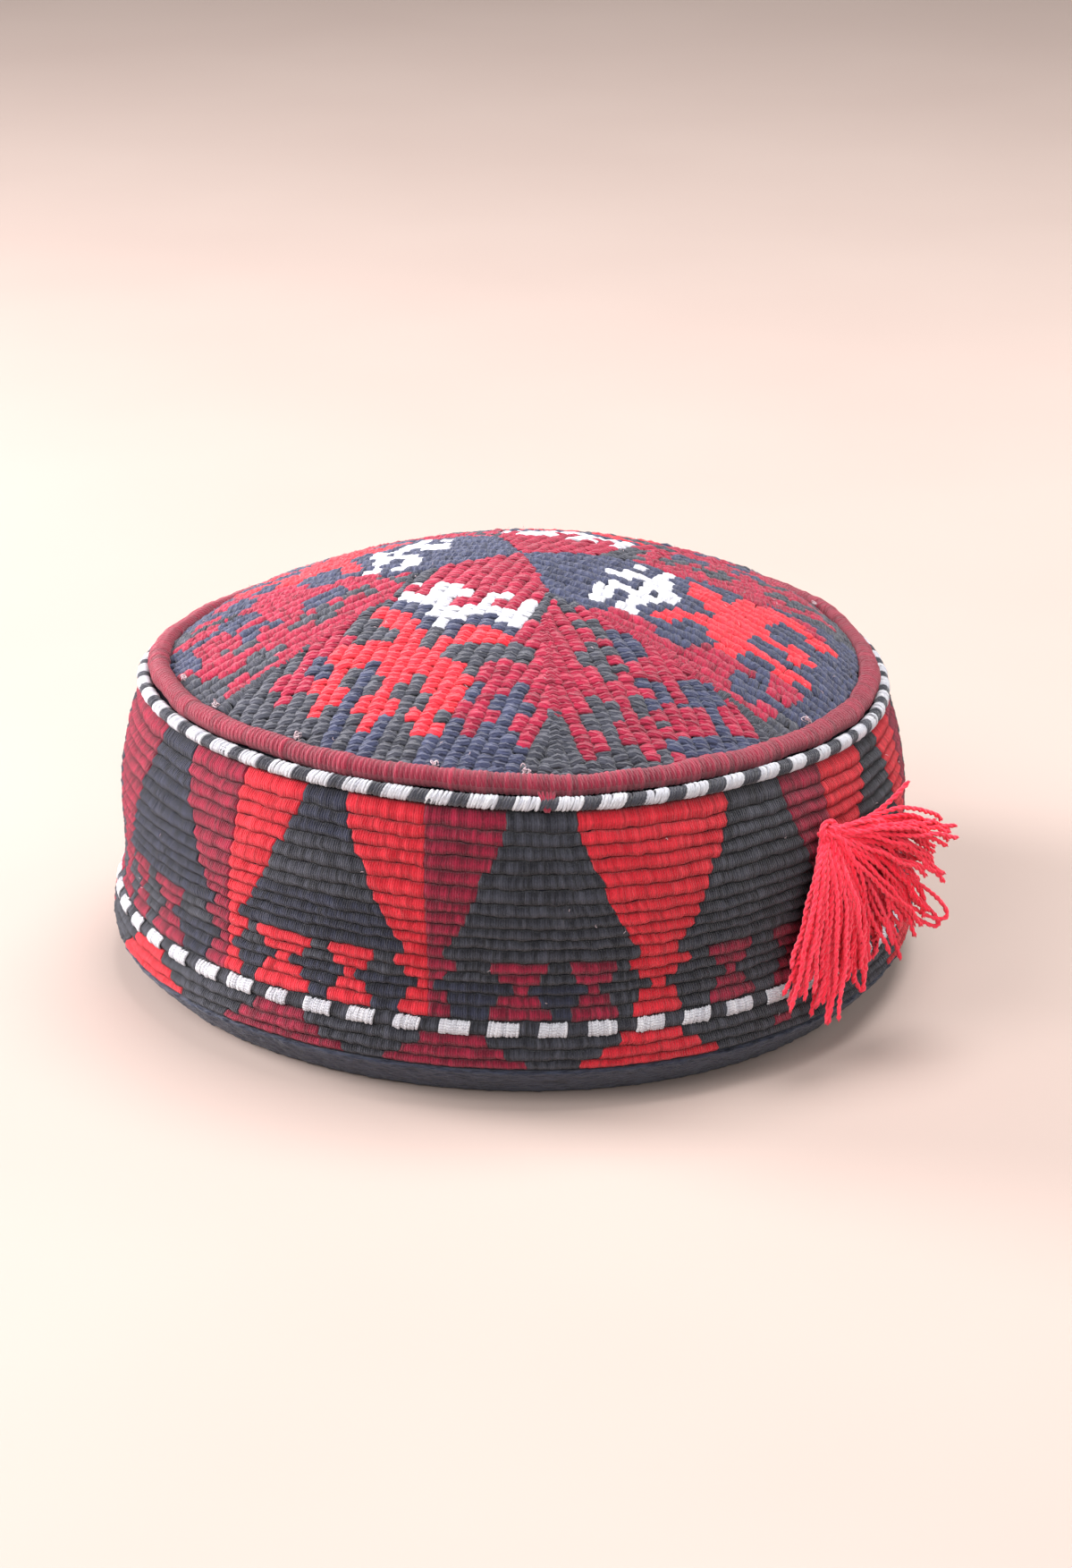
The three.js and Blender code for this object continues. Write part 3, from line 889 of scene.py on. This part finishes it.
def band_rows(bundles):
    """Rows of upright threads laid side by side, each row a plump cord between two creases."""
    wander = [ripple((41, 0.12), (17, 0.13), (7.3, 0.1), (3.9, 0.07)) for _ in range(BAND_ROWS + 1)]
    depths = [ripple((29, 0.14), (11, 0.16), (5.1, 0.12)) for _ in range(BAND_ROWS + 1)]
    share = (ROW_STATIONS + 1) / 2
    for row in range(1, BAND_ROWS + 1):
        top, foot = ROW_EDGES[row - 1], ROW_EDGES[row]
        radius = float(side_radius((top + foot) / 2))
        waver = ripple((23, 0.07), (9, 0.06))
        for letter, left, right in band_runs(row, radius):
            length = math.radians((right - left).mean()) * radius
            columns = max(round(length / THREAD_PITCH), 2) + 1
            along = np.linspace(0, 1, columns)
            along[1:-1] += jitter(0.12, columns - 2) / columns
            azimuth = left + (right - left) * along[:, None]
            upper = top + (wander[row - 1](azimuth) if row > 1 else 0)
            lower = foot + (wander[row](azimuth) if row < BAND_ROWS else 0)
            height = upper + (lower - upper) * share + (0.04 - 0.08 * share)
            deep = np.where(ROW_STATIONS < 0, depths[row - 1](azimuth), depths[row](azimuth))
            plump = jitter(0.07, columns, 1)
            tucked = np.zeros((columns, 1))
            tucked[[0, -1]] = 0.14
            sunk = 0.05 + (ROW_DEPTH + 0.15 + deep) * np.abs(ROW_STATIONS) ** 2.2
            sunk = sunk - (plump + waver(azimuth) - tucked) * (1 - ROW_STATIONS ** 2)
            front = round_point(side_radius(height) - sunk, azimuth, height)
            back_height, back_azimuth = height[:, BEHIND], azimuth[:, BEHIND]
            back_radius = side_radius(back_height) - ROW_DEPTH - BEHIND_DEPTH
            front = front + jitter(0.05, *front.shape)
            rings = np.concatenate([front, round_point(back_radius, back_azimuth, back_height)], 1)
            streaks = chance.normal(0.5, 0.2, (columns, 1))
            # Painted shade: the tone darkens towards the row's creases and on its back, where it lies
            # deepest.
            creases = np.abs(np.append(ROW_STATIONS, [1, 1])) ** 2.5 * 0.75
            run = np.radians(azimuth[:, AROUND]) * radius
            thread = vectors(run, share[AROUND] * (top - foot), streaks - creases)
            bundles[LETTERS[letter]].add(*tube(rings[:, ::-1], thread[:, ::-1]))


def dashes(bundles):
    """White threads laid over the dash row in slanting groups."""
    stations = np.array([-1, -0.8, -0.3, 0.3, 0.8, 1])
    top, foot = ROW_EDGES[DASH_ROW - 1], ROW_EDGES[DASH_ROW]
    middle = (top + foot) / 2
    radius = float(side_radius(middle))
    period = 360 / DASHES["count"]
    length = math.radians(period) * radius * DASHES["white"]
    for dash in range(DASHES["count"]):
        count = round(length * chance.normal(1, 0.08) / THREAD_PITCH)
        place = (np.arange(count) - (count - 1) / 2) * THREAD_PITCH + jitter(0.05, count)
        azimuth = DASHES["first"] + period * dash + np.degrees(place / radius)
        lean = chance.normal(0.3, 0.2) + jitter(0.07, count, 1)
        turn = azimuth[:, None] - np.degrees(lean * stations / radius)
        reach = (top - foot) / 2 + 0.05 + jitter(0.12, count, 1)
        height = middle - stations * reach
        out = side_radius(height) + 0.12 + jitter(0.07, count, 1)
        out = out - 1.1 * np.abs(stations) ** 2.6
        tone = chance.normal(0.55, 0.12, count)
        up = round_point(1, turn, 0)
        bundles["white"].add(*strands(round_point(out, turn, height), up, 0.46, 0.3, tone, sides=5))


def make_stitches(place, makers, stock):
    """A piece of stitches for each yarn in stock on a part of the cap."""
    bundles = {name: Bundle() for name in stock}
    for add in makers:
        add(bundles)
    for name, bundle in bundles.items():
        if bundle.count:
            bundle.piece(f"{place}_{name}_stitches", stock[name], slot=SLOTS[name])


# Cloth below the stitches

def crown_cloth():
    sunk = RIB_DEPTH * 1.1
    radii = CROWN_RADIUS * np.sin(np.linspace(0.02, 1, 18) * math.pi / 2)
    outer = [(r, crown_height(r) - sunk) for r in radii]
    inner_radii = (CROWN_RADIUS - CROWN_WALL) * np.sin(np.linspace(1, 0.02, 14) * math.pi / 2)
    inner = [(r, crown_height(r) - CROWN_WALL) for r in inner_radii]
    foot = [(CROWN_RADIUS, CROWN_FOOT), (CROWN_RADIUS - CROWN_WALL, CROWN_FOOT)]
    shape = revolved(outer + foot + inner, columns=96)
    lone_piece("crown_cloth", shape, GROUND, slot="maroon_yarn", replaces="crown")


def band_cloth():
    sunk = ROW_DEPTH + 0.3
    outer = [(side_radius(z) - sunk, z) for z in np.linspace(BAND_FOOT, LIP["foot"], 20)]
    shoulder = SEAM_RADIUS - LIP["width"]
    under = LIP["top"] - LIP["thickness"]
    lip = [(shoulder + 1, LIP["foot"]), (shoulder, LIP["top"]), (LIP["inner"], LIP["top"]),
           (LIP["inner"], under), (LIP["inner"] + LIP["under"], under)]
    inner = [(side_radius(z) - BAND_WALL, z) for z in np.linspace(WALL_TOP, BAND_FOOT, 12)]
    shape = revolved(outer + lip + inner, columns=128)
    lone_piece("band_cloth", shape, GROUND, slot="black_yarn", replaces="side_band")


# Cords on the edge, hem and tassel

def wound_ring(place, turns, columns_to_turn, sides, depth):
    """A cord wound with yarn: its surface swells at each turn, with painted shade between the turns, and
    it wavers a little.
    """
    columns = turns * columns_to_turn
    azimuth = np.arange(columns) / columns * 360
    around = (np.arange(sides) / sides * 2 * math.pi)[:, None]
    phase = (np.radians(azimuth * turns) + 0.9 * np.cos(around)) / (2 * math.pi)
    swell = np.abs(np.sin(phase * math.pi)) ** 0.6
    own = jitter(1, turns)[np.floor(phase).astype(int) % turns]
    thicker = ripple((47, 0.1), (19, 0.1), (7, 0.07))(azimuth)
    thick = place["thickness"] / 2 - depth * (1 - swell) + 0.07 * own + thicker
    aside = ripple((61, 0.16), (26, 0.1))(azimuth)
    radius = place["radius"] + aside + thick * np.cos(around)
    height = place["height"] + ripple((53, 0.18), (23, 0.14))(azimuth) + thick * np.sin(around)
    points = round_point(radius, azimuth[None], height)
    length = around * place["thickness"] / 2
    # Painted shade: the tone darkens between the turns, where the surface dips.
    tone = 0.5 + 0.12 * own - 0.3 * (1 - swell)
    thread = vectors(length, phase * 2 * math.pi, tone)
    return points.reshape(-1, 3), [closed_grid(sides, columns)[:, ::-1]], thread.reshape(-1, 3)


def edge_piping():
    shape = wound_ring(PIPING, turns=440, columns_to_turn=5, sides=14, depth=0.34)
    lone_piece("edge_piping_winding", shape, CORD_YARNS["maroon"], "maroon_yarn", "edge_piping")


CHECKS = {"count": 58, "first": 0.6, "white": 0.56}
# Threads wound over the checked cord: how far apart, their half sizes, how deep they lie, how far
# the white ones stand out, and how much thinner the core is than the cord.
WRAP = {"pitch": 0.7, "half_width": 0.5, "half_height": 0.3, "sunk": 0.5, "proud": 0.12, "core": 1.2}


def checked_cord():
    """Thin threads wound over the cord, white and black by turns."""
    count = round(2 * math.pi * CORD["radius"] / WRAP["pitch"])
    azimuth = (np.arange(count) + jitter(0.15, count)) / count * 360
    number = (azimuth - CHECKS["first"]) * CHECKS["count"] / 360 + 0.5
    phase = number % 1 - 0.5
    own = chance.normal(1, 0.07, CHECKS["count"])[np.floor(number).astype(int) % CHECKS["count"]]
    white = np.abs(phase + jitter(0.02, count)) < CHECKS["white"] * own / 2
    angle = np.radians(np.linspace(-105, 215, 11))
    slant = 0.7 + jitter(0.16, count)
    turn = azimuth[:, None] + np.degrees(slant[:, None] * np.sin(angle) / CORD["radius"])
    thick = CORD["thickness"] / 2 - WRAP["sunk"] + WRAP["proud"] * white + jitter(0.06, count)
    radius = CORD["radius"] + thick[:, None] * np.cos(angle)
    height = CORD["height"] + thick[:, None] * np.sin(angle)
    paths = round_point(radius, turn, height)
    outward = round_point(1, turn, 0)
    up = outward * np.cos(angle)[:, None] + np.array([0, 0, 1.0]) * np.sin(angle)[:, None]
    tone = chance.normal(0.5, 0.12, count)
    for name, own in (("white", white), ("black", ~white)):
        bundle = Bundle()
        bundle.add(*strands(paths[own], up[own], WRAP["half_width"], WRAP["half_height"], tone[own]))
        if name == "black":
            core = {**CORD, "thickness": CORD["thickness"] - WRAP["core"]}
            bundle.add(*wound_ring(core, turns=60, columns_to_turn=4, sides=8, depth=0))
        replaces = "checked_cord" if name == "white" else None
        bundle.piece(f"checked_cord_{name}_wraps", CORD_YARNS[name], SLOTS[name], replaces)


# A stitch where the piping is joined pulls maroon yarn down over the checked cord.
JOIN = {"azimuth": 3.6, "width": 4.2, "foot": 72}


def joining_stitch():
    count = 5
    share = np.linspace(0, 1, 8)
    spread = np.linspace(-0.5, 0.5, count)[:, None] * JOIN["width"]
    place = spread * (1 - share) + jitter(0.05, count, len(share))
    height = PIPING["height"] + (JOIN["foot"] - PIPING["height"]) * share
    over = CORD["thickness"] / 2 + 0.45
    radius = CORD["radius"] + over * np.sin(share * math.pi) ** 0.7 - 2.6 * (1 - share)
    paths = round_point(radius, JOIN["azimuth"] + np.degrees(place / CORD["radius"]), height)
    tone = chance.normal(0.5, 0.1, count)
    shape = strands(paths, round_point(1, JOIN["azimuth"], 0), 0.42, 0.34, tone, sides=5)
    lone_piece("joining_stitch", shape, CORD_YARNS["maroon"], slot="maroon_yarn")


# Hem: rows of felted relief from its bevelled foot up to the groove below the band. A clump of rows
# shares its waves, which slant from row to row, in degrees.
HEM = {"columns": 900, "rows": 9, "clump": 3, "slant": 0.5, "relief": 0.3, "groove": 0.7, "bevel": 0.6}
# The folded edge inside it: its stations, its lowest one's place, and the width of the flat foot.
HEM_FOLD = {"heights": (6, 3), "width": 0.7, "height": 1, "flat": 3}


def hem_binding():
    """A felted roll of yarn over the folded edge of the cloth."""
    rows, columns = HEM["rows"], HEM["columns"]
    outer = [(side_radius(z), z) for z in np.linspace(HEM["bevel"], HEM_HEIGHT - 0.1, rows)]
    top, foot = side_radius(HEM_HEIGHT), side_radius(0)
    crease = [(top - HEM["groove"], HEM_HEIGHT + 0.1), (top - BAND_WALL, HEM_HEIGHT)]
    inner = [(side_radius(z) - BAND_WALL, z) for z in HEM_FOLD["heights"]]
    under = [(foot - BAND_WALL - HEM_FOLD["width"], HEM_FOLD["height"]), (foot - HEM_FOLD["flat"], 0),
             (foot - HEM["bevel"], 0)]
    profile = outer + crease + inner + under
    points, faces, thread = revolved(profile, columns)
    grid = points.reshape(len(profile), columns, 3)
    azimuth = np.arange(columns) / columns * 360
    relief = np.zeros((len(profile), columns))
    for first in range(0, rows, HEM["clump"]):
        waves = ripple((13, 0.3), (5.7, 0.5), (2.9, 0.5))
        for row in range(first, first + HEM["clump"]):
            relief[row] = waves(azimuth + row * HEM["slant"]) + jitter(0.35, columns)
    grid[..., :2] *= (1 + relief * HEM["relief"] / SEAM_RADIUS)[..., None]
    shape = grid.reshape(-1, 3), faces, thread
    lone_piece("hem_binding_wraps", shape, HEM_YARN, slot="black_yarn", replaces="hem_binding")


# Strand ends of the tassel from its knot, from its back edge round to its front one: towards the
# back, away from the band and down, in millimetres.
TIPS = [
    (33, 16, 2), (34, 15, 6), (33, 14, 11), (31, 13, 17), (30, 12, 22), (27, 12, 26), (24, 11, 30),
    (20, 10, 34), (14, 9, 37), (7, 9, 38), (2.6, 8, 41), (-1, 8, 37), (-5.9, 8, 40), (-10.8, 8, 45),
    (-14, 7, 40), (-21.5, 6, 37),
]
LOOPS = [{"tip": (31, 14, 27), "wide": 3.6}, {"tip": (29, 13, 29), "wide": 2.6},
         {"tip": (4, 9, 40), "wide": 2.4}]
STRAY = (23, 7, -10)
STRANDS = {"count": 180, "stations": 48, "ply": 0.42, "helix": 0.32, "twist": 4.2}


def tassel_place(path):
    """Points given from the knot, towards the back, away from the band and down."""
    angle = math.radians(TASSEL_AZIMUTH)
    away = np.array([math.sin(angle), -math.cos(angle), 0])
    back = np.array([math.cos(angle), math.sin(angle), 0])
    out = float(side_radius(KNOT_HEIGHT)) + 0.3 + KNOT_RADIUS
    knot = away * out + np.array([0, 0, KNOT_HEIGHT])
    down = np.array([0, 0, -1.0])
    return knot + path[..., :1] * back + path[..., 1:2] * away + path[..., 2:] * down


def plied(bundle, path, tone):
    """Two plies twisted round each path (strand, station, axis)."""
    run = length_along(path)
    tangent = unit(np.gradient(path, axis=1))
    side = unit(np.cross(tangent, np.array([0.3, 1.0, 0.2])))
    other = np.cross(tangent, side)
    start = chance.uniform(0, 2 * math.pi, (len(path), 1))
    for ply in (0, math.pi):
        angle = (start + ply + run * 2 * math.pi / STRANDS["twist"])[..., None]
        around = path + STRANDS["helix"] * (np.cos(angle) * side + np.sin(angle) * other)
        place = tassel_place(around)
        bundle.add(*strands(place, np.array([0.2, -0.3, 1.0]), STRANDS["ply"], STRANDS["ply"], tone))


def tassel():
    """A bunch of two-ply strands that leave the knot together and fan out as they fall."""
    count, stations = STRANDS["count"], STRANDS["stations"]
    share = np.linspace(0, 1, stations)[:, None]
    tips = np.array(TIPS, float)
    at = chance.uniform(0, len(tips) - 1, count)
    end = vectors(*(np.interp(at, np.arange(len(tips)), axis) for axis in tips.T))
    end = end * chance.triangular(0.66, 0.96, 1.03, (count, 1)) + jitter(1.0, count, 3)
    end[:, 1] = np.clip(end[:, 1] * chance.uniform(0.25, 1.25, count), 0.5, 16)
    leave = jitter(0.9, count, 1, 3) * (1 - share) * np.array([1, 0.8, 1])
    bow = vectors(jitter(1.6, count), 2.4 + jitter(1, count), -2.8 + jitter(1.2, count))
    path = end[:, None] * share + leave + bow[:, None] * np.sin(share * math.pi)
    for axis, height in ((0, 0.5), (2, 0.35)):
        pace = chance.uniform(14, 26, (count, 1))
        phase = chance.uniform(0, 2 * math.pi, (count, 1))
        path[..., axis] += height * share[:, 0] * np.sin(share[:, 0] * pace + phase)
    bundle = Bundle()
    plied(bundle, path, chance.normal(0.5, 0.14, count))

    for loop in LOOPS:
        turn = np.linspace(-math.pi, math.pi, stations)[:, None]
        reach = (1 + np.cos(turn)) / 2
        wide = np.array([0.6, 0.2, -0.8]) * loop["wide"] * np.sin(turn)
        path = np.array(loop["tip"]) * reach ** 0.7 + wide * reach ** 0.4
        plied(bundle, path[None], np.array([0.55]))
    stray = np.array(STRAY) * share + np.array([0, 1.5, 1.5]) * np.sin(share * math.pi)
    plied(bundle, stray[None], np.array([0.5]))

    turn = np.linspace(0, 2 * math.pi * 0.97, stations)
    for wrap in np.linspace(-1, 1, 5):
        radius = KNOT_RADIUS * (1 - 0.25 * wrap * wrap)
        ring = vectors(radius * np.cos(turn), 0.3 * radius * np.sin(turn) + 0.6,
                       wrap * 1.3 + 0.75 * radius * np.sin(turn))
        plied(bundle, ring[None], np.array([0.45]))
    bundle.piece("tassel_strands", TASSEL_YARN, slot="red_yarn", replaces="tassel")


# Wisps of basting thread at the feet of some ribs, by azimuth on the crown's edge.
WISPS = [-71.6, -58.3, -38, -13.6, 0.5, 53.9, 118, 171, 226]


def lint():
    """Wisps of pale thread at the rib feet, and single fibres caught on the stitches."""
    share = np.linspace(-1, 1, 5)
    bundle = Bundle()

    def fibres(middle, spread, length, half_width):
        start = middle + jitter(spread, *middle.shape)
        heading = unit(jitter(1, *middle.shape)) * length
        curl = jitter(length * 0.3, *middle.shape)
        paths = start[:, None] + heading[:, None] * share[:, None] / 2
        paths = paths + curl[:, None] * (1 - share[:, None] ** 2)
        tone = chance.normal(0.5, 0.15, len(middle))
        bundle.add(*strands(paths, np.array([0.3, -0.2, 1.0]), half_width, half_width, tone))

    for azimuth in WISPS:
        foot = round_point(CROWN_RADIUS - 0.6, azimuth, CROWN_EDGE + 0.9)
        fibres(np.repeat(foot[None], 9, 0), 0.28, 1.6, 0.16)
    count = 70
    radius = CROWN_RADIUS * np.sqrt(chance.uniform(0.05, 0.96, count))
    fallen = round_point(radius, chance.uniform(0, 360, count), crown_height(radius) + 0.1)
    fibres(fallen, 0.05, 1.0, 0.08)
    height = chance.uniform(12, 70, count)
    fibres(round_point(side_radius(height), chance.uniform(0, 360, count), height), 0.05, 0.9, 0.08)
    bundle.piece("lint_wisps", LINT_YARN, slot="white_yarn")


crown_cloth()
band_cloth()
make_stitches("crown", [crown_stitches, seam_spines], STITCH_YARNS)
make_stitches("band", [band_rows, dashes], ROW_YARNS)
edge_piping()
checked_cord()
joining_stitch()
hem_binding()
tassel()
lint()


# Studio

# Metres, watts and shares of light.
FLOOR = {"side": 12, "tones": ((166, 149, 141), (173, 157, 149))}
WHITE_LIGHT = (1, 0.98, 0.98)
LAMPS = {
    "key": {"place": (-0.9, -0.7, 1.05), "size": 1.1, "power": 20, "tint": WHITE_LIGHT},
    "top": {"place": (0.2, 0.3, 1.4), "size": 0.9, "power": 26, "tint": WHITE_LIGHT},
    "front": {"place": (0.5, -1.4, 0.7), "size": 0.9, "power": 8, "tint": WHITE_LIGHT},
    "left_edge": {"place": (-1.2, 0.4, 0.4), "size": 0.6, "power": 40, "tint": (1, 0.95, 0.96)},
    "right_edge": {"place": (1.1, 0.4, 0.5), "size": 0.6, "power": 6, "tint": (1, 0.97, 0.95)},
}
LAMP_AIM = (0, 0, 0.06)
AIR = {"Color": (0.86, 0.83, 0.82, 1), "Strength": 0.45}


def floor():
    shader = Shader("pale_floor", {"Roughness": 0.8})
    place = shader.node("ShaderNodeNewGeometry", output="Position")
    tones = (colour(*screen) for screen in FLOOR["tones"])
    material = shader.finish(base_color=shader.blend(shader.noise(place, 6), *tones))
    mesh = bpy.data.meshes.new("floor")
    half = FLOOR["side"] / 2
    corners = [(-half, -half, 0), (half, -half, 0), (half, half, 0), (-half, half, 0)]
    mesh.from_pydata(corners, [], [(0, 1, 2, 3)])
    mesh.materials.append(material)
    placed("floor", mesh)


def studio():
    for name, lamp in LAMPS.items():
        light = bpy.data.lights.new(name, "AREA")
        light.shape = "DISK"
        light.size = lamp["size"]
        light.energy = lamp["power"]
        light.color = lamp["tint"]
        placed(name, light, lamp["place"], Vector(LAMP_AIM) - Vector(lamp["place"]))
    world = bpy.data.worlds.new("studio")
    world.use_nodes = True
    for socket, value in AIR.items():
        world.node_tree.nodes["Background"].inputs[socket].default_value = value
    bpy.context.scene.world = world
    bpy.context.scene.view_settings.view_transform = "Standard"


# The camera stands in front of the cap at its viewing angle, a metre off.
VIEW = {"elevation": 21.08, "distance": 1000.4, "lens": 90.4, "height": 45, "right": 3.68, "down": 3.14}


def camera():
    tilt = math.radians(VIEW["elevation"])
    middle = OFFSET + np.array([0, 0, VIEW["height"]])
    back = np.array([0, -math.cos(tilt), math.sin(tilt)])
    up = np.array([0, math.sin(tilt), math.cos(tilt)])
    place = middle + back * VIEW["distance"]
    aim = middle + np.array([VIEW["right"], 0, 0]) - up * VIEW["down"]
    data = bpy.data.cameras.new("camera")
    data.lens = VIEW["lens"]
    data.sensor_width = 36
    bpy.context.scene.camera = placed("camera", data, place / 1000, Vector(aim - place))


floor()
studio()
camera()
